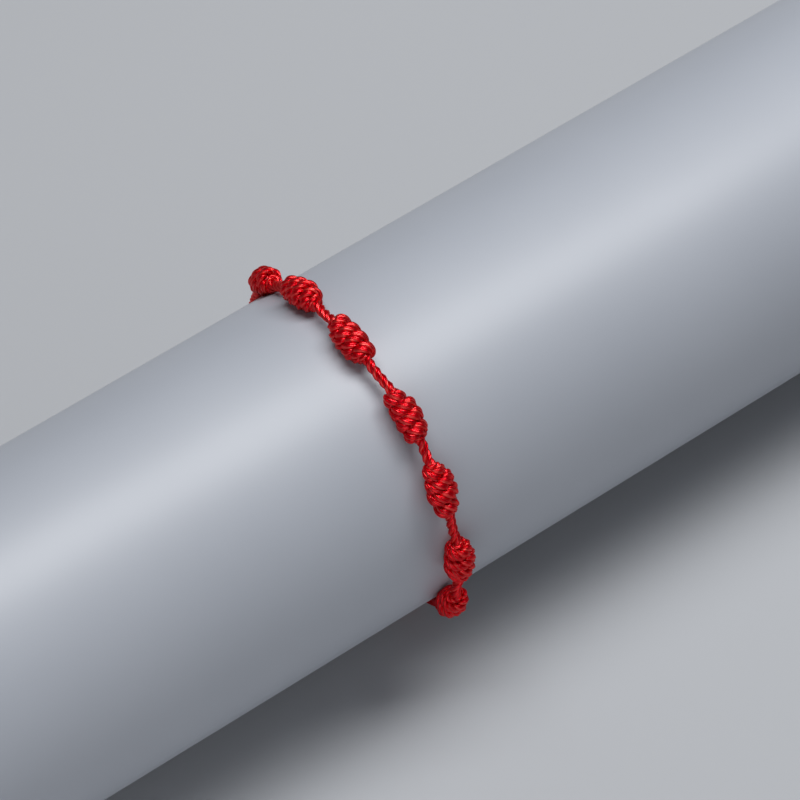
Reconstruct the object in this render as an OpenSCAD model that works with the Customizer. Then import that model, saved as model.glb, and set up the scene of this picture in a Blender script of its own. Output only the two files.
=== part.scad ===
// Seven-knot red string bracelet, worn round a plain display roll.
// The roll lies along X. Angles round it start at the front (-Y), and 90 is its top.

/* [Display roll] */
// Diameter of the roll, about that of a wrist
roll_d = 58; // [56:0.5:62]
// Length of the roll
roll_l = 235; // [200:5:260]
// Chamfer round both end faces
roll_edge = 0.8; // [0.3:0.1:2]

/* [Cord] */
// Diameter of the twisted cord over its three strands
cord_d = 1.8; // [1.6:0.1:2]
// Length in which a strand goes once round the cord
lay_l = 4.8; // [4:0.1:6]
// Share of the cord's radius at the grooves between strands
groove_share = 0.68; // [0.6:0.02:0.9]

/* [Knots] */
// Depth of the grooves between a knot's wraps
wrap_groove = 0.5; // [0.2:0.05:0.7]
// Angle by which the cord bends towards the roll where it leaves a knot
mouth_bend = 22; // [0:1:24]
// Share of a knot's radius at its two ends
knot_end_share = 0.56; // [0.5:0.02:0.7]
// Length of the knot that closes the loop, at the back
closure_l = 9; // [7:0.5:11]
// Diameter of the knot that closes the loop
closure_d = 5.2; // [4.8:0.1:5.6]
// Place of the closing knot round the roll
closure_angle = -173; // [-176:1:-170]

/* [Fit] */
// Gap between pieces that lie on each other
gap = 0.1; // [0.05:0.05:0.2]

/* [Hidden] */

cord_color = [0.75, 0.02, 0.07];
knot_color = [0.82, 0.05, 0.07];
roll_color = [0.66, 0.70, 0.76];

// Columns of a place on the loop: angle round the roll, shift along the roll, and lean of the cord's way
// out of the roll's cross section. A knot adds its length, diameter, wraps, turn of the first wrap, and
// the dip of its later end towards the roll.
ANGLE = 0;
SHIFT = 1;
LEAN = 2;
LENGTH = 3;
DIAMETER = 4;
WRAPS = 5;
TURN = 6;
DIP = 7;
knots = [
    [137.5, 2.3, -6, 6.8, 4.9, 3, 40, 0],
    [109.5, 0.8, -4, 8.4, 5.4, 4, 200, 0],
    [83.4, -0.1, -2, 9.0, 5.3, 4, 100, 0],
    [55, 0, 0, 9.8, 5.0, 4, 20, 0],
    [30.1, -0.1, 1, 9.4, 5.1, 4, 300, 0],
    [2.9, 0.5, 3, 8.4, 5.2, 4, 150, 0],
    [-21, 0.7, 8, 7.4, 5.2, 3, 260, 6],
];
closure = [closure_angle, 4.9, -4, closure_l, closure_d, 4, 0, 0];

// Places where the hidden half of the loop hugs the roll: in front of the flat stretch, where the cord
// leaves the roll for it and comes back, and below and above the closing knot
hug_front = [-40, 2.7, 13];
leave_front = [-50, 4, 12];
back_again = [-132, 5.9, -1];
hug_below = [-154, 5.5, -3];
hug_above = [-194, 4.2, -6];
hug_top = [-207, 3.4, -8];

roll_r = roll_d / 2;
cord_r = cord_d / 2;
// The bracelet's lowest stretch lies flat under the roll, and the roll rests on it.
cord_path_r = roll_r + gap + cord_r;
roll_z = cord_path_r + cord_r;

// The flat stretch under the roll reaches this far to each side of its axis, at these shifts
flat_half = 8;
flat_front_shift = 5.5;
flat_back_shift = 5.9;

// The cord runs straight out of a knot this far before it bends.
mouth_reach = 0.35;

// Sides of the roll
roll_sides = 96;
// Steps along the cord and round it
ring_step = 0.6;
min_steps = 2;
strand_count = 3;
strand_half_angle = 26;
bend_share = 0.36;
// Rings and sides of a knot
rings_per_wrap = 6;
knot_sides = 14;
end_roundness = 2.6;
// The grooves fade out over this share of a knot at each end
groove_fade = 0.17;

function on_roll(angle, radius, x) = [x, -radius * cos(angle), roll_z + radius * sin(angle)];
// The way the cord runs: from the back over the top and down the front
function run_way(angle) = [0, -sin(angle), -cos(angle)];
function outward(angle) = [0, -cos(angle), sin(angle)];
function unit(v) = v / norm(v);

function leaned(way, lean) = cos(lean) * way + [sin(lean), 0, 0];

function knot_centre(k) = on_roll(k[ANGLE], roll_r + gap + k[DIAMETER] / 2 / cos(k[DIP]), k[SHIFT]);
function knot_way(k, bend = 0) = let (dip = k[DIP] + bend)
    leaned(cos(dip) * run_way(k[ANGLE]) - sin(dip) * outward(k[ANGLE]), k[LEAN]);
function knot_mouth(k, side) = knot_centre(k) + side * knot_way(k) * (k[LENGTH] / 2 + mouth_reach);
function knot_entry(k) = [knot_mouth(k, -1), knot_way(k, -mouth_bend)];
function knot_exit(k) = [knot_mouth(k, 1), knot_way(k, mouth_bend)];
function hug(place) =
    [on_roll(place[ANGLE], cord_path_r, place[SHIFT]), leaned(run_way(place[ANGLE]), place[LEAN])];
flat_start = [[flat_front_shift, -flat_half, cord_r], [0, 1, 0]];
flat_end = [[flat_back_shift, flat_half, cord_r], [0, 1, 0]];

// Stretches of the cord: where it starts and ends, and whether it ends in a knot
stretches = concat(
    [for (i = [0 : len(knots) - 2]) [knot_exit(knots[i]), knot_entry(knots[i + 1]), true]],
    [
        [knot_exit(knots[6]), hug(hug_front), false],
        [hug(hug_front), hug(leave_front), false],
        [hug(leave_front), flat_start, false],
        [flat_start, flat_end, false],
        [flat_end, hug(back_again), false],
        [hug(back_again), hug(hug_below), false],
        [hug(hug_below), knot_entry(closure), true],
        [knot_exit(closure), hug(hug_above), false],
        [hug(hug_above), hug(hug_top), false],
        [hug(hug_top), knot_entry(knots[0]), true],
    ]);

// A stretch is one Bezier curve, which leaves and arrives along the given ways.
function bend(s) = norm(s[1][0] - s[0][0]) * bend_share;
function curve_point(s, t) =
    pow(1 - t, 3) * s[0][0]
    + 3 * pow(1 - t, 2) * t * (s[0][0] + s[0][1] * bend(s))
    + 3 * (1 - t) * pow(t, 2) * (s[1][0] - s[1][1] * bend(s))
    + pow(t, 3) * s[1][0];
function curve_way(s, t) = unit(
    pow(1 - t, 2) * s[0][1] * bend(s)
    + 2 * (1 - t) * t * (s[1][0] - s[1][1] * bend(s) - s[0][0] - s[0][1] * bend(s))
    + pow(t, 2) * s[1][1] * bend(s));
function step_count(s) = max(min_steps, round(norm(s[1][0] - s[0][0]) / ring_step));

// The twist goes on along each stretch and rests inside the knots, and comes out even round the loop.
steps = [for (s = stretches) step_count(s)];
steps_before = [for (i = 0, n = 0; i < len(steps); n = n + steps[i], i = i + 1) n];
steps_all = steps_before[len(steps) - 1] + steps[len(steps) - 1];
turns = round(steps_all * ring_step / lay_l);
twist_step = 360 * turns / steps_all;

// Corners of the cord's section: two on each strand's back and one in each groove
section = [for (k = [0 : strand_count - 1], corner = [0 : 2])
    corner < 2
        ? [cord_r, 360 * k / strand_count + (corner == 0 ? -strand_half_angle : strand_half_angle)]
        : [cord_r * groove_share, 360 * (k + 0.5) / strand_count]];

function cord_ring(p, way, twist) =
    let (across = unit(cross(way, [1, 0, 0])), side = cross(across, way))
    [for (c = section) p + c[0] * (cos(c[1] + twist) * across + sin(c[1] + twist) * side)];

cord_rings = [for (i = [0 : len(stretches) - 1], k = [0 : steps[i] - (stretches[i][2] ? 0 : 1)])
    cord_ring(curve_point(stretches[i], k / steps[i]), curve_way(stretches[i], k / steps[i]),
        twist_step * (steps_before[i] + k))];

function flat_list(lists) = [for (l = lists, v = l) v];

// Faces between ring a and ring b of n points each
function band(a, b, n) = [for (j = [0 : n - 1])
    let (q = (j + 1) % n)
    each [[a * n + j, a * n + q, b * n + q], [a * n + j, b * n + q, b * n + j]]];

module cord() {
    count = len(cord_rings);
    sides = len(section);
    color(cord_color)
        polyhedron(flat_list(cord_rings), [for (i = [0 : count - 1]) each band(i, (i + 1) % count, sides)],
            convexity = 12);
}

// A knot is the cord wound round itself: a barrel with a groove between wraps, open for the cord inside.
function barrel_r(k, t) = let (r = k[DIAMETER] / 2)
    r * (knot_end_share + (1 - knot_end_share) * pow(max(0, 1 - pow(abs(2 * t - 1), end_roundness)), 0.5));
function wrap_r(k, t, angle) =
    let (phase = k[WRAPS] * t + (angle + k[TURN]) / 360,
        ends = min(1, min(t, 1 - t) / groove_fade))
    barrel_r(k, t) - wrap_groove * ends * (1 - abs(sin(180 * phase)));

function knot_ring(k, t, bore) =
    let (way = knot_way(k),
        across = unit(cross(way, [1, 0, 0])),
        side = cross(across, way),
        p = knot_centre(k) + way * k[LENGTH] * (t - 0.5))
    [for (j = [0 : knot_sides - 1])
        let (angle = 360 * j / knot_sides, r = bore ? cord_r + gap : wrap_r(k, t, angle))
        p + r * (cos(angle) * across + sin(angle) * side)];

module knot(k) {
    steps_out = k[WRAPS] * rings_per_wrap;
    rings = concat(
        [for (i = [0 : steps_out]) knot_ring(k, i / steps_out, false)],
        [knot_ring(k, 1, true), knot_ring(k, 0, true)]);
    count = len(rings);
    color(knot_color)
        polyhedron(flat_list(rings), [for (i = [0 : count - 1]) each band(i, (i + 1) % count, knot_sides)],
            convexity = 8);
}

module display_roll() {
    profile = [
        [0, -roll_l / 2],
        [roll_r - roll_edge, -roll_l / 2],
        [roll_r, -roll_l / 2 + roll_edge],
        [roll_r, roll_l / 2 - roll_edge],
        [roll_r - roll_edge, roll_l / 2],
        [0, roll_l / 2],
    ];
    color(roll_color)
        translate([0, 0, roll_z])
            rotate([0, 90, 0])
                rotate_extrude($fn = roll_sides)
                    polygon(profile);
}

module knot_1() { knot(knots[0]); }
module knot_2() { knot(knots[1]); }
module knot_3() { knot(knots[2]); }
module knot_4() { knot(knots[3]); }
module knot_5() { knot(knots[4]); }
module knot_6() { knot(knots[5]); }
module knot_7() { knot(knots[6]); }
module closure_knot() { knot(closure); }

display_roll();
cord();
knot_1();
knot_2();
knot_3();
knot_4();
knot_5();
knot_6();
knot_7();
closure_knot();
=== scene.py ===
# Red string bracelet on a display roll
import bisect
import math

import bpy
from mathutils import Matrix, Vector, noise


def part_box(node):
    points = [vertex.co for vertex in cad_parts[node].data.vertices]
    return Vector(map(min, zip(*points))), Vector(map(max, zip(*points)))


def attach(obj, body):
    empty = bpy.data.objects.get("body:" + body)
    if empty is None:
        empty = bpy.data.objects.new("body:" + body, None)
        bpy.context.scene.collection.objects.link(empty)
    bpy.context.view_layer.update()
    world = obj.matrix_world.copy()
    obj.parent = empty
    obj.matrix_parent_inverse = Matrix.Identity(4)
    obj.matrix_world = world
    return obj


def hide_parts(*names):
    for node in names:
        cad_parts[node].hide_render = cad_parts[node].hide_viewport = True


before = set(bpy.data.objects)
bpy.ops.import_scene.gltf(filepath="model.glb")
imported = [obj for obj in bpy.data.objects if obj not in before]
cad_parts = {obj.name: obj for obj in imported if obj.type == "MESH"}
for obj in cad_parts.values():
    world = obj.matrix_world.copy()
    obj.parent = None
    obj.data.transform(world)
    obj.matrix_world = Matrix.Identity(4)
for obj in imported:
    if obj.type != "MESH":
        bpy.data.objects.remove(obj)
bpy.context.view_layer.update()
print("frame loaded:", len(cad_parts), "nodes")

mm = 0.001
rollLow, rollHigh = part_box("display_roll")
rollR = (rollHigh.z - rollLow.z) / 2
rollMid = Vector((0, 0, (rollHigh.z + rollLow.z) / 2))
rollLength = rollHigh.x - rollLow.x


def deselect():
    bpy.ops.object.select_all(action="DESELECT")


def pick(piece):
    deselect()
    piece.select_set(True)
    bpy.context.view_layer.objects.active = piece


def applyModifiers(piece):
    pick(piece)
    for modifier in list(piece.modifiers):
        bpy.ops.object.modifier_apply(modifier=modifier.name)


# camera, fitted to the roll's two edges and to the row of knots
camera = {"lens": 225, "sensor": 36, "place": (-0.3274, -0.4336, 0.6658), "tilt": 41.15, "turn": -38.13}

deselect()
bpy.ops.object.camera_add(
    location=camera["place"], rotation=(math.radians(camera["tilt"]), 0, math.radians(camera["turn"])))
bpy.context.object.data.lens = camera["lens"]
bpy.context.object.data.sensor_width = camera["sensor"]
bpy.context.scene.camera = bpy.context.object
print("camera placed")


# materials
def newMaterial(name):
    material = bpy.data.materials.new(name)
    material.use_nodes = True
    return material, material.node_tree.nodes, material.node_tree.links


def addNode(nodes, kind, **values):
    node = nodes.new(kind)
    for name, value in values.items():
        if hasattr(node, name):
            setattr(node, name, value)
        else:
            node.inputs[name].default_value = value
    return node


def addRamp(nodes, stops):
    # each stop is its place from 0 to 1 and its colour
    ramp = nodes.new("ShaderNodeValToRGB")
    elements = ramp.color_ramp.elements
    for place, color in stops[1:-1]:
        elements.new(place)
    for element, (place, color) in zip(elements, stops):
        element.position = place
        element.color = color
    return ramp


def addBump(nodes, links, heights, strength, distance):
    bump = addNode(nodes, "ShaderNodeBump", Strength=strength, Distance=distance)
    links.new(heights, bump.inputs["Height"])
    links.new(bump.outputs["Normal"], nodes["Principled BSDF"].inputs["Normal"])


def setShader(nodes, values):
    for socket, value in values.items():
        nodes["Principled BSDF"].inputs[socket].default_value = value


satin = {
    # painted shade: the grooves between plies and wraps, and some darker fibres
    "paintedShadeRed": (0.24, 0.0, 0.008),
    "body": (0.67, 0.001, 0.008),
    # painted highlight: salmon streaks on the crests and on some fibres, also tinting their gloss
    "paintedHighlightRed": (0.8, 0.1, 0.08),
    # the ramp runs from the painted shade through the cord's red to the painted highlight
    "stops": [(0.15, "paintedShadeRed"), (0.44, "body"), (0.64, "body"), (0.86, "paintedHighlightRed")],
    "knotPaintedLight": 1.05,                # painted light: the knots' red a little lighter than the cord's, though both are one cord
    "filamentsAcross": 3.2,          # per mm
    "filamentsAlong": 0.45,
    "filamentDetail": 5.0,
    "filamentRoughness": 0.75,
    "filamentShare": 0.5,            # of the ramp's input; the rest is the painted shade and highlight attribute
    "bump": 0.45,
    "relief": 0.09 * mm,
    "shader": {
        "Metallic": 0.8,
        "Roughness": 0.33,
        "Specular Tint": (1.0, 0.15, 0.12, 1),
        "Specular IOR Level": 0.0,   # more of it turns the red's edges white
        "Coat Weight": 0.38,
        "Coat Roughness": 0.1,
    },
}


def satinRed(name, paintedLightScale=1.0):
    material, nodes, links = newMaterial(name)
    fibre = addNode(nodes, "ShaderNodeAttribute", attribute_name="fibre")
    paintedShadeAndHighlight = addNode(nodes, "ShaderNodeAttribute", attribute_name="paintedShadeAndHighlight")

    across, along = satin["filamentsAcross"], satin["filamentsAlong"]
    stretch = addNode(nodes, "ShaderNodeMapping", Scale=(across, across, along))
    links.new(fibre.outputs["Vector"], stretch.inputs["Vector"])
    filaments = addNode(
        nodes, "ShaderNodeTexNoise", Scale=1.0, Detail=satin["filamentDetail"],
        Roughness=satin["filamentRoughness"])
    links.new(stretch.outputs["Vector"], filaments.inputs["Vector"])

    blend = addNode(nodes, "ShaderNodeMix", data_type="FLOAT")
    blend.inputs[0].default_value = satin["filamentShare"]  # a float mix has its factor first, then A and B
    links.new(paintedShadeAndHighlight.outputs["Fac"], blend.inputs[2])
    links.new(filaments.outputs["Fac"], blend.inputs[3])
    # the colours are scaled for the knots' copy, painted a little lighter
    stops = [(place, [c * paintedLightScale for c in satin[shade]] + [1]) for place, shade in satin["stops"]]
    ramp = addRamp(nodes, stops)
    links.new(blend.outputs[0], ramp.inputs["Fac"])
    links.new(ramp.outputs["Color"], nodes["Principled BSDF"].inputs["Base Color"])
    addBump(nodes, links, filaments.outputs["Fac"], satin["bump"], satin["relief"])
    setShader(nodes, satin["shader"])
    return material


skin = {
    "stops": [(0.3, (0.375, 0.402, 0.455, 1)), (0.7, (0.395, 0.422, 0.475, 1))],
    "cloudScale": 30.0,              # faint patches of the two colours
    "grainScale": 2600.0,            # fine grain, only in the relief
    "detail": 3.0,
    "bump": 0.5,
    "relief": 0.012 * mm,
    "shader": {"Roughness": 0.6, "Specular IOR Level": 1.0, "Coat Weight": 0.42, "Coat Roughness": 0.34},
}


def rollSkin(name):
    material, nodes, links = newMaterial(name)
    place = addNode(nodes, "ShaderNodeTexCoord")
    grain = addNode(nodes, "ShaderNodeTexNoise", Scale=skin["grainScale"], Detail=skin["detail"])
    cloud = addNode(nodes, "ShaderNodeTexNoise", Scale=skin["cloudScale"], Detail=skin["detail"])
    links.new(place.outputs["Object"], grain.inputs["Vector"])
    links.new(place.outputs["Object"], cloud.inputs["Vector"])
    ramp = addRamp(nodes, skin["stops"])
    links.new(cloud.outputs["Fac"], ramp.inputs["Fac"])
    links.new(ramp.outputs["Color"], nodes["Principled BSDF"].inputs["Base Color"])
    addBump(nodes, links, grain.outputs["Fac"], skin["bump"], skin["relief"])
    setShader(nodes, skin["shader"])
    return material


# display roll: a plain cylinder with a soft rim and flat end caps, each set a little into its rim
roll = {
    "sides": 256,
    "rim": 0.8 * mm,
    "rimSteps": 4,
    "rimAngle": 60,                  # only edges sharper than this are rounded
    "capInset": 1.6 * mm,
    "capDepth": 0.25 * mm,
    "smoothAngle": 35,
}


def buildRoll():
    deselect()
    bpy.ops.mesh.primitive_cylinder_add(
        vertices=roll["sides"], radius=rollR, depth=rollLength, location=rollMid,
        rotation=(0, math.pi / 2, 0), end_fill_type="NGON")
    piece = bpy.context.object
    piece.name = "display_roll_skin"
    bpy.ops.object.transform_apply(location=True, rotation=True, scale=True)
    bevel = piece.modifiers.new("Rim", "BEVEL")
    bevel.width = roll["rim"]
    bevel.segments = roll["rimSteps"]
    bevel.limit_method = "ANGLE"
    bevel.angle_limit = math.radians(roll["rimAngle"])
    applyModifiers(piece)
    bpy.ops.object.mode_set(mode="EDIT")
    bpy.ops.mesh.select_mode(type="FACE")
    bpy.ops.mesh.select_all(action="DESELECT")
    bpy.ops.object.mode_set(mode="OBJECT")
    for face in piece.data.polygons:
        face.select = len(face.vertices) == roll["sides"]  # the two end caps
    bpy.ops.object.mode_set(mode="EDIT")
    bpy.ops.mesh.inset(thickness=roll["capInset"], depth=0)
    bpy.ops.mesh.inset(thickness=roll["capDepth"], depth=-roll["capDepth"], use_individual=True)
    bpy.ops.object.mode_set(mode="OBJECT")
    bpy.ops.object.shade_smooth_by_angle(angle=math.radians(roll["smoothAngle"]))
    piece.data.materials.append(rollSkin("pale matt skin"))
    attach(piece, "root")
    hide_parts("display_roll")


buildRoll()
print("display roll built")


# three-strand cord: a straight length is laid first, then bent along a path
cord = {
    "r": 0.9 * mm,
    "gap": 0.1 * mm,                 # between the cord and the roll
    "plies": 3,
    "lay": 4.8 * mm,                 # length of one turn of the plies
    "sides": 72,
    "stepsPerLay": 28,
    "plyReach": 0.44,                # a ply's middle, and its own radius, as shares of the cord's
    "plyRound": 0.56,
    "yarns": 3,                      # across the back of a ply
    "yarnDepth": 0.085,              # of the grooves between yarns, as a share of the cord's radius
    "unevenness": 0.04,              # most by which the thickness changes, as a share
    "wander": 9,                     # most by which the twist runs ahead or falls behind, in degrees
    "swellRate": 0.45,               # how fast the two change, per mm
    "wanderRate": 0.22,
    "weld": 0.01 * mm,
}
# places in the noise, so that no two plies or lengths of cord are alike
apart = {"swellPly": 9.1, "swellLength": 3.7, "wanderLength": 5.3, "wanderRow": 40, "fibreLength": 31}


def cordOutline(angle):
    # round plies pressed together, each of a few parallel yarns; 1 is the cord's full radius
    ply = 2 * math.pi / cord["plies"]
    turn = (angle + ply / 2) % ply - ply / 2
    reach, bulge = cord["plyReach"], cord["plyRound"]
    radius = reach * math.cos(turn) + math.sqrt(bulge ** 2 - (reach * math.sin(turn)) ** 2)
    yarn = abs(math.sin(math.pi * cord["yarns"] * (turn / ply + 0.5)))
    return radius - cord["yarnDepth"] * (1 - yarn)


def layCord(name, length, turns, seed):
    deselect()
    bpy.ops.mesh.primitive_circle_add(vertices=cord["sides"], radius=cord["r"], location=(0, 0, 0))
    piece = bpy.context.object
    piece.name = name
    for vertex in piece.data.vertices:
        vertex.co *= cordOutline(math.atan2(vertex.co.y, vertex.co.x))
    screw = piece.modifiers.new("Lay", "SCREW")
    screw.axis = "Z"
    screw.angle = 2 * math.pi * turns
    screw.screw_offset = length
    screw.steps = screw.render_steps = round(turns * cord["stepsPerLay"])
    screw.use_merge_vertices = False
    applyModifiers(piece)
    markFibres(piece, seed)
    loosenTwist(piece, length, seed)
    return piece


def markFibres(piece, seed):
    # each vertex gets its place round and along the cord, and a painted shade and highlight value that
    # rises and falls with the outline, meant dark for the grooves and light for the crests; the circle's
    # first vertex is at 90 degrees, so the painted shade is a quarter turn round from it
    sides, radius = cord["sides"], cord["r"] / mm
    piece.data.attributes.new("fibre", "FLOAT_VECTOR", "POINT")
    piece.data.attributes.new("paintedShadeAndHighlight", "FLOAT", "POINT")
    fibre, paintedShadeAndHighlight = piece.data.attributes["fibre"], piece.data.attributes["paintedShadeAndHighlight"]
    outline = [cordOutline(2 * math.pi * side / sides) for side in range(sides)]
    low, high = min(outline), max(outline)
    for vertex in piece.data.vertices:
        side = vertex.index % sides
        angle = 2 * math.pi * side / sides
        along = vertex.co.z / mm + apart["fibreLength"] * seed
        fibre.data[vertex.index].vector = (radius * math.cos(angle), radius * math.sin(angle), along)
        paintedShadeAndHighlight.data[vertex.index].value = (outline[side] - low) / (high - low)


def loosenTwist(piece, length, seed):
    # a little uneven in thickness and twist, except near the two ends
    for vertex in piece.data.vertices:
        along = vertex.co.z
        calm = min(1, along / cord["lay"], (length - along) / cord["lay"])
        ply = round(cord["plies"] * (vertex.index % cord["sides"]) / cord["sides"]) % cord["plies"]
        swell = noise.noise(Vector((
            ply * apart["swellPly"], seed * apart["swellLength"], along / mm * cord["swellRate"])))
        twist = noise.noise(Vector((
            seed * apart["wanderLength"], apart["wanderRow"], along / mm * cord["wanderRate"])))
        spin = calm * math.radians(cord["wander"]) * twist
        scale = 1 + calm * cord["unevenness"] * swell
        x, y = vertex.co.x * scale, vertex.co.y * scale
        vertex.co.x = x * math.cos(spin) - y * math.sin(spin)
        vertex.co.y = x * math.sin(spin) + y * math.cos(spin)


def bendAlong(piece, path):
    bend = piece.modifiers.new("Bend", "CURVE")
    bend.object = path
    bend.deform_axis = "POS_Z"
    applyModifiers(piece)
    bpy.data.objects.remove(path)


def finishCord(piece, closed):
    pick(piece)
    bpy.ops.object.mode_set(mode="EDIT")
    bpy.ops.mesh.select_all(action="SELECT")
    bpy.ops.mesh.remove_doubles(threshold=cord["weld"])
    if not closed:
        bpy.ops.mesh.fill_holes(sides=0)
    bpy.ops.mesh.select_all(action="SELECT")
    bpy.ops.mesh.normals_make_consistent(inside=False)
    bpy.ops.object.mode_set(mode="OBJECT")
    bpy.ops.object.shade_smooth()


# the loop's route round the roll: angles start at the front, and 90 is the top
def onRoll(angle, radius, x):
    a = math.radians(angle)
    return rollMid + Vector((x, -radius * math.cos(a), radius * math.sin(a)))


def runWay(angle):
    # the way the cord runs there: from the back over the top and down the front
    a = math.radians(angle)
    return Vector((0, -math.sin(a), -math.cos(a)))


def outward(angle):
    a = math.radians(angle)
    return Vector((0, -math.cos(a), math.sin(a)))


def leaned(way, lean):
    a = math.radians(lean)
    return math.cos(a) * way + Vector((math.sin(a), 0, 0))


# what most knots share, in mm and degrees
usual = {
    "dip": 0,                        # of the knot's later end towards the roll
    "press": 0.1,                    # how far the knot is pressed flat on the roll
    "sink": 0.25,                    # how far its ends lie nearer the roll than its middle
}
# knots in their order round the roll, in mm and degrees; each wrap is given where it stands out at the
# right side and then at the left: its place along the knot and its reach from the knot's axis, for both
knots = {
    "knot_1": dict(usual, angle=137.5, shift=2.3, lean=-6, length=6.8, width=4.9, press=0.45, sink=0.8,
        wraps=[(1.2, 2.35, 1.5, 2.2), (3.3, 2.7, 3.6, 2.5), (5.4, 2.5, 5.6, 2.2)]),
    "knot_2": dict(usual, angle=109.5, shift=0.8, lean=-4, length=8.4, width=5.4, sink=0.5,
        wraps=[(1.4, 1.9, 1.7, 2.6), (3.2, 2.4, 3.5, 2.7), (5.1, 2.65, 5.4, 2.7), (7.0, 2.2, 7.2, 2.25)]),
    "knot_3": dict(usual, angle=83.4, shift=-0.1, lean=-2, length=9.0, width=5.3,
        wraps=[(1.2, 2.3, 2.3, 2.5), (3.5, 2.6, 4.0, 2.7), (5.5, 2.6, 6.1, 2.7), (7.8, 2.35, 7.7, 2.1)]),
    "knot_4": dict(usual, angle=55, shift=0, lean=0, length=9.8, width=5.0,
        wraps=[(1.8, 1.75, 1.6, 2.2), (3.6, 2.6, 3.9, 2.4), (5.5, 2.75, 6.0, 2.4), (7.6, 2.35, 8.1, 2.25)]),
    "knot_5": dict(usual, angle=30.1, shift=-0.1, lean=1, length=9.4, width=5.1,
        wraps=[(1.2, 2.05, 1.4, 2.0), (2.9, 2.85, 3.5, 2.35), (5.0, 2.9, 5.5, 2.65), (7.4, 2.2, 7.9, 2.3)]),
    "knot_6": dict(usual, angle=2.9, shift=0.5, lean=3, length=8.4, width=5.2,
        wraps=[(1.3, 2.4, 1.5, 2.3), (3.2, 2.85, 3.6, 2.6), (5.1, 2.7, 5.5, 2.7), (6.9, 2.1, 7.1, 2.3)]),
    "knot_7": dict(usual, angle=-21, shift=0.7, lean=8, length=7.4, width=5.2, dip=6,
        wraps=[(1.3, 2.45, 1.6, 2.5), (3.6, 2.7, 3.9, 2.75), (5.9, 2.45, 6.1, 2.4)]),
    "closure_knot": dict(usual, angle=-173, shift=4.9, lean=-4, length=9, width=5.2,
        wraps=[(1.3, 2.1, 1.6, 2.2), (3.4, 2.6, 3.7, 2.55), (5.4, 2.55, 5.8, 2.6), (7.5, 2.2, 7.7, 2.1)]),
}
# the cord's route has its point this far past a knot's end, and is turned towards the roll there
mouth = {"reach": 0.35 * mm, "bend": 22}


def knotMiddle(knot):
    reach = knot["width"] / 2 / math.cos(math.radians(knot["dip"])) - knot["press"]
    return onRoll(knot["angle"], rollR + cord["gap"] + reach * mm, knot["shift"] * mm)


def knotWay(knot, bend=0):
    dip = math.radians(knot["dip"] + bend)
    way = math.cos(dip) * runWay(knot["angle"]) - math.sin(dip) * outward(knot["angle"])
    return leaned(way, knot["lean"])


def knotMouth(knot, end):
    reach = knot["length"] / 2 * mm + mouth["reach"]
    return knotMiddle(knot) + end * knotWay(knot) * reach - outward(knot["angle"]) * knot["sink"] * mm


def knotEntry(knot):
    return knotMouth(knot, -1), knotWay(knot, -mouth["bend"])


def knotExit(knot):
    return knotMouth(knot, 1), knotWay(knot, mouth["bend"])


def hug(angle, shift, lean):
    return onRoll(angle, rollR + cord["gap"] + cord["r"], shift * mm), leaned(runWay(angle), lean)


# the hidden half: angle, shift in mm and lean wherever the cord hugs the roll, and the flat stretch below
route = {
    "front": [(-40, 2.7, 13), (-50, 4, 12)],
    "back": [(-132, 5.9, -1), (-154, 5.5, -3)],
    "top": [(-194, 4.2, -6), (-207, 3.4, -8)],
    "flatHalf": 8 * mm,
    "flatFront": 5.5 * mm,           # shift along the roll at the flat stretch's two ends
    "flatBack": 5.9 * mm,
    "handleShare": 0.36,
    "resolution": 40,
}


def loopPlaces():
    places = []
    for name, knot in knots.items():
        if name != "closure_knot":
            places += [knotEntry(knot), knotExit(knot)]
    places += [hug(*place) for place in route["front"]]
    places += [
        (Vector((route["flatFront"], -route["flatHalf"], cord["r"])), Vector((0, 1, 0))),
        (Vector((route["flatBack"], route["flatHalf"], cord["r"])), Vector((0, 1, 0))),
    ]
    places += [hug(*place) for place in route["back"]]
    places += [knotEntry(knots["closure_knot"]), knotExit(knots["closure_knot"])]
    places += [hug(*place) for place in route["top"]]
    return places


def loopPath():
    places = loopPlaces()
    data = bpy.data.curves.new("loop path", "CURVE")
    data.dimensions = "3D"
    data.resolution_u = route["resolution"]
    spline = data.splines.new("BEZIER")
    spline.bezier_points.add(len(places) - 1)
    spline.use_cyclic_u = True
    for i, (place, way) in enumerate(places):
        point = spline.bezier_points[i]
        before = (places[i - 1][0] - place).length * route["handleShare"]
        after = (places[(i + 1) % len(places)][0] - place).length * route["handleShare"]
        point.co = place
        point.handle_left_type = point.handle_right_type = "FREE"
        point.handle_left = place - way * before
        point.handle_right = place + way * after
    path = bpy.data.objects.new("loop path", data)
    bpy.context.scene.collection.objects.link(path)
    bpy.context.view_layer.update()
    return path, spline.calc_length()


def buildLoop(red):
    path, length = loopPath()
    turns = round(length / cord["lay"])
    piece = layCord("twisted_cord", length, turns, 0)
    bendAlong(piece, path)
    finishCord(piece, True)
    piece.data.materials.append(red)
    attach(piece, "root")
    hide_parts("cord")
    print("cord laid:", round(length / mm, 1), "mm,", turns, "turns")


# wraps of a knot: the same cord wound round the loop and pressed flat, its two ends tucked under
winding = {
    "lay": 3.6 * mm,
    "clearance": 0.04 * mm,          # from the roll
    "rightSide": 67,                 # round the knot from its outward side, in degrees
    "leftSide": -113,
    "stepAngle": 7.5,
    "thick": 0.86 * mm,              # half the pressed cord, across and along the knot
    "widest": 1.35 * mm,
    "narrowest": 1.0 * mm,
    "overlap": 1.25,                 # a wrap's width against its pitch
    # how each end draws in round the cord: turn, way along the knot, reach, share of the cord's size
    "ends": [(150, 0.6, 1.65, 0.85), (330, 1.05, 1.2, 0.65), (420, 1.3, 0.75, 0.5)],
    "endReach": 1.5,                 # the ends go down with the cord over this length
    # painted shade between the wraps: from painted shade to lit by the share of the way out on the wrap,
    # and by the distance from the knot's end in mm, so that the two ends stay lit
    "lit": (-0.3, 0.6),
    "litEnds": (1.3, 0.5),
}


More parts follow.
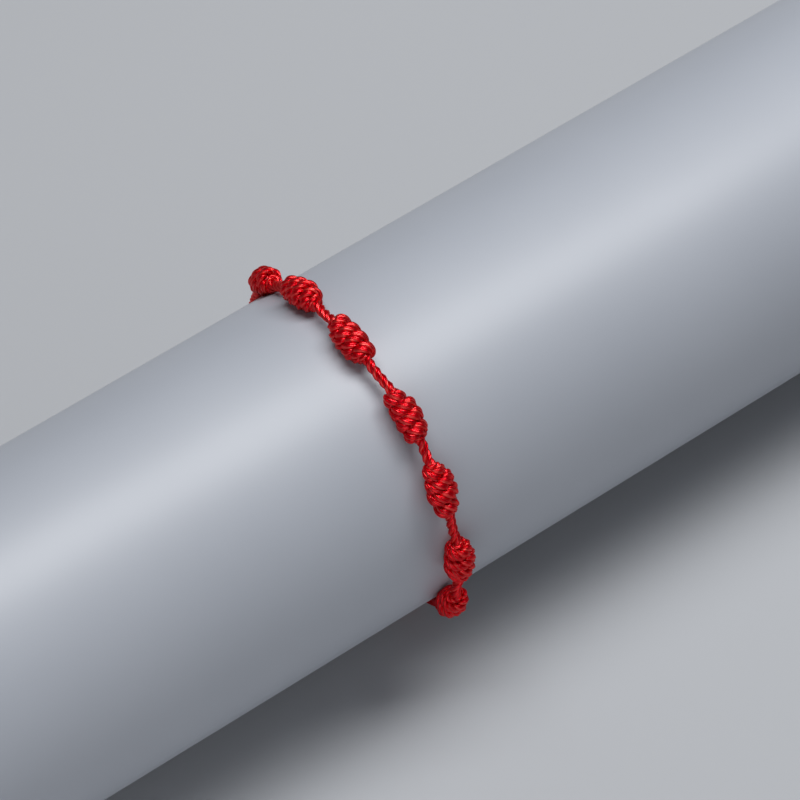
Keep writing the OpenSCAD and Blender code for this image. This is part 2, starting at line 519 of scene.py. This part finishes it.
def wrapMarks(knot):
    # angle round the knot, place along it, reach from its axis, share of the cord's size
    marks = []
    for number, (right, rightOut, left, leftOut) in enumerate(knot["wraps"]):
        marks.append((winding["rightSide"] - 360 * number, right, rightOut, 1))
        marks.append((winding["leftSide"] - 360 * number, left, leftOut, 1))
    first, last = marks[0], marks[-1]
    for turn, along, out, size in winding["ends"]:
        marks.insert(0, (first[0] + turn, first[1] - along, out, size))
        marks.append((last[0] - turn, last[1] + along, out, size))
    return marks


def markAt(marks, angle):
    # place, reach and share between the marks on both sides of an angle
    angle = min(max(angle, marks[-1][0]), marks[0][0])
    for a, b in zip(marks, marks[1:]):
        if angle >= b[0]:
            t = (a[0] - angle) / (a[0] - b[0])
            t = t * t * (3 - 2 * t)
            return [p + (q - p) * t for p, q in zip(a[1:], b[1:])]
    return marks[-1][1:]


def knotSides(knot):
    # away from the roll, and beside that, both across the knot's axis
    way = knotWay(knot)
    up = way.cross(Vector((1, 0, 0))).normalized()
    return up, up.cross(way)


def knotAxis(knot, along):
    # the knot's axis at a place along it, drawn down to the cord at both ends
    up = knotSides(knot)[0]
    endShare = max(0, 1 - min(along, knot["length"] - along) / winding["endReach"])
    place = knotMiddle(knot) + knotWay(knot) * (along - knot["length"] / 2) * mm
    return place - up * knot["sink"] * mm * endShare


def wrapCourse(knot):
    # places along the wraps, with the outward side and half the cord's thickness and width at each
    up, beside = knotSides(knot)
    marks = wrapMarks(knot)
    steps = round((marks[0][0] - marks[-1][0]) / winding["stepAngle"])
    course = []
    for i in range(steps + 1):
        angle = marks[0][0] + (marks[-1][0] - marks[0][0]) * i / steps
        along, out, size = markAt(marks, angle)
        pitch = max(along - markAt(marks, angle + 360)[0], markAt(marks, angle - 360)[0] - along)
        wide = size * min(max(pitch / 2 * mm * winding["overlap"], winding["narrowest"]), winding["widest"])
        thick = size * winding["thick"]
        turn = math.radians(angle)
        outSide = math.cos(turn) * up + math.sin(turn) * beside
        course.append((knotAxis(knot, along) + outSide * (out * mm - thick), outSide, thick, wide))
    return course


def courseAt(course, lengths, at):
    # place, outward side, the side beside it, thickness and width at a length along the wraps
    i = min(max(bisect.bisect_right(lengths, at) - 1, 0), len(course) - 2)
    t = (at - lengths[i]) / (lengths[i + 1] - lengths[i])
    here, after = course[i], course[i + 1]
    way = (course[min(i + 2, len(course) - 1)][0] - course[max(i - 1, 0)][0]).normalized()
    outSide = here[1].lerp(after[1], t)
    outSide = (outSide - way * outSide.dot(way)).normalized()
    thick = here[2] * (1 - t) + after[2] * t
    wide = here[3] * (1 - t) + after[3] * t
    return here[0].lerp(after[0], t), outSide, way.cross(outSide), thick, wide


def keepOffRoll(place):
    reach = math.hypot(place.y, place.z - rollMid.z)
    push = max(1, (rollR + winding["clearance"]) / reach)
    return Vector((place.x, place.y * push, rollMid.z + (place.z - rollMid.z) * push))


def fade(value, start, stop):
    # 0 up to start, 1 from stop on
    return min(max((value - start) / (stop - start), 0), 1)


def windCord(piece, course, lengths, knot):
    way, middle = knotWay(knot), knotMiddle(knot)
    vertices = piece.data.vertices
    paintedShadeAndHighlight = piece.data.attributes["paintedShadeAndHighlight"]
    rings = len(vertices) // cord["sides"]
    for ring in range(rings):
        place, outSide, beside, thick, wide = courseAt(course, lengths, lengths[-1] * ring / (rings - 1))
        for index in range(ring * cord["sides"], (ring + 1) * cord["sides"]):
            x, y = vertices[index].co.x / cord["r"], vertices[index].co.y / cord["r"]
            vertices[index].co = keepOffRoll(place + outSide * x * thick + beside * y * wide)
            fromEnd = knot["length"] / 2 - abs((vertices[index].co - middle).dot(way)) / mm
            # painted shade: each wrap darker on its inner side, between the wraps, except near the knot's
            # ends
            paintedShadeAndHighlight.data[index].value *= max(fade(x, *winding["lit"]), fade(fromEnd, *winding["litEnds"]))


# what shows between the wraps: a ball drawn out along the knot, past its ends, and cut off short of them
core = {"sides": 32, "rings": 20, "r": 1.85 * mm, "past": 0.6, "short": 0.4}


def buildCore(knot):
    deselect()
    bpy.ops.mesh.primitive_uv_sphere_add(
        segments=core["sides"], ring_count=core["rings"], radius=1, location=(0, 0, 0))
    piece = bpy.context.object
    up, beside = knotSides(knot)
    half = knot["length"] / 2
    reach = half - core["short"]
    for vertex in piece.data.vertices:
        x, y, z = vertex.co
        along = half + min(max(z * (half + core["past"]), -reach), reach)
        vertex.co = keepOffRoll(knotAxis(knot, along) + (up * x + beside * y) * core["r"])
    bpy.ops.object.shade_smooth()
    return piece


def buildKnot(name, red, seed):
    knot = knots[name]
    course = wrapCourse(knot)
    lengths = [0.0]
    for a, b in zip(course, course[1:]):
        lengths.append(lengths[-1] + (b[0] - a[0]).length)
    piece = layCord(name + "_wraps", lengths[-1], lengths[-1] / winding["lay"], seed)
    windCord(piece, course, lengths, knot)
    finishCord(piece, False)
    inside = buildCore(knot)
    pick(piece)
    inside.select_set(True)
    # the ball has no values for the painted shade and highlight, so it is coloured darker red, as painted
    # shade between the wraps
    bpy.ops.object.join()
    piece.data.materials.append(red)
    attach(piece, "root")
    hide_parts(name)
    return lengths[-1] / mm


cordRed = satinRed("satin red cord")
# the knots' red is a copy of the cord's, painted a little lighter
knotRed = satinRed("satin red knots", satin["knotPaintedLight"])
buildLoop(cordRed)
taken = [buildKnot(name, knotRed, seed) for seed, name in enumerate(knots, 1)]
print("knots wound:", len(knots), "with", round(sum(taken), 1), "mm of cord")


# floor and soft studio light
studio = {
    "floor": {"Base Color": (0.44, 0.455, 0.48, 1), "Roughness": 0.7},
    "floorR": 8,
    "floorSides": 96,
    "sky": (0.93, 0.97, 1.06, 1),
    "skyStrength": 0.08,
    # a long softbox overhead, along the roll, and a weak one low in front
    "softboxes": [
        dict(name="key light", place=(0.22, 0.03, 0.77), size=(0.9, 0.36), tilt=(0, 0, -26), power=6.8),
        dict(name="fill light", place=(-0.4, -0.4, 0.15), size=(0.6, 0.6), tilt=(78, 0, -45), power=1.25),
    ],
}


def layFloor():
    deselect()
    bpy.ops.mesh.primitive_circle_add(
        vertices=studio["floorSides"], radius=studio["floorR"], fill_type="NGON", location=(0, 0, 0))
    floor = bpy.context.object
    floor.name = "floor"
    material, nodes, links = newMaterial("pale floor")
    setShader(nodes, studio["floor"])
    floor.data.materials.append(material)


def addLight(light):
    deselect()
    tilt = [math.radians(angle) for angle in light["tilt"]]
    bpy.ops.object.light_add(type="AREA", location=light["place"], rotation=tilt)
    lamp = bpy.context.object
    lamp.name = light["name"]
    lamp.data.shape = "RECTANGLE"
    lamp.data.size, lamp.data.size_y = light["size"]
    lamp.data.energy = light["power"]


def lightStudio():
    world = bpy.context.scene.world or bpy.data.worlds.new("studio")
    bpy.context.scene.world = world
    world.use_nodes = True
    sky = world.node_tree.nodes["Background"]
    sky.inputs["Color"].default_value = studio["sky"]
    sky.inputs["Strength"].default_value = studio["skyStrength"]
    for light in studio["softboxes"]:
        addLight(light)
    bpy.context.scene.view_settings.view_transform = "Standard"


layFloor()
lightStudio()
print("studio lit")
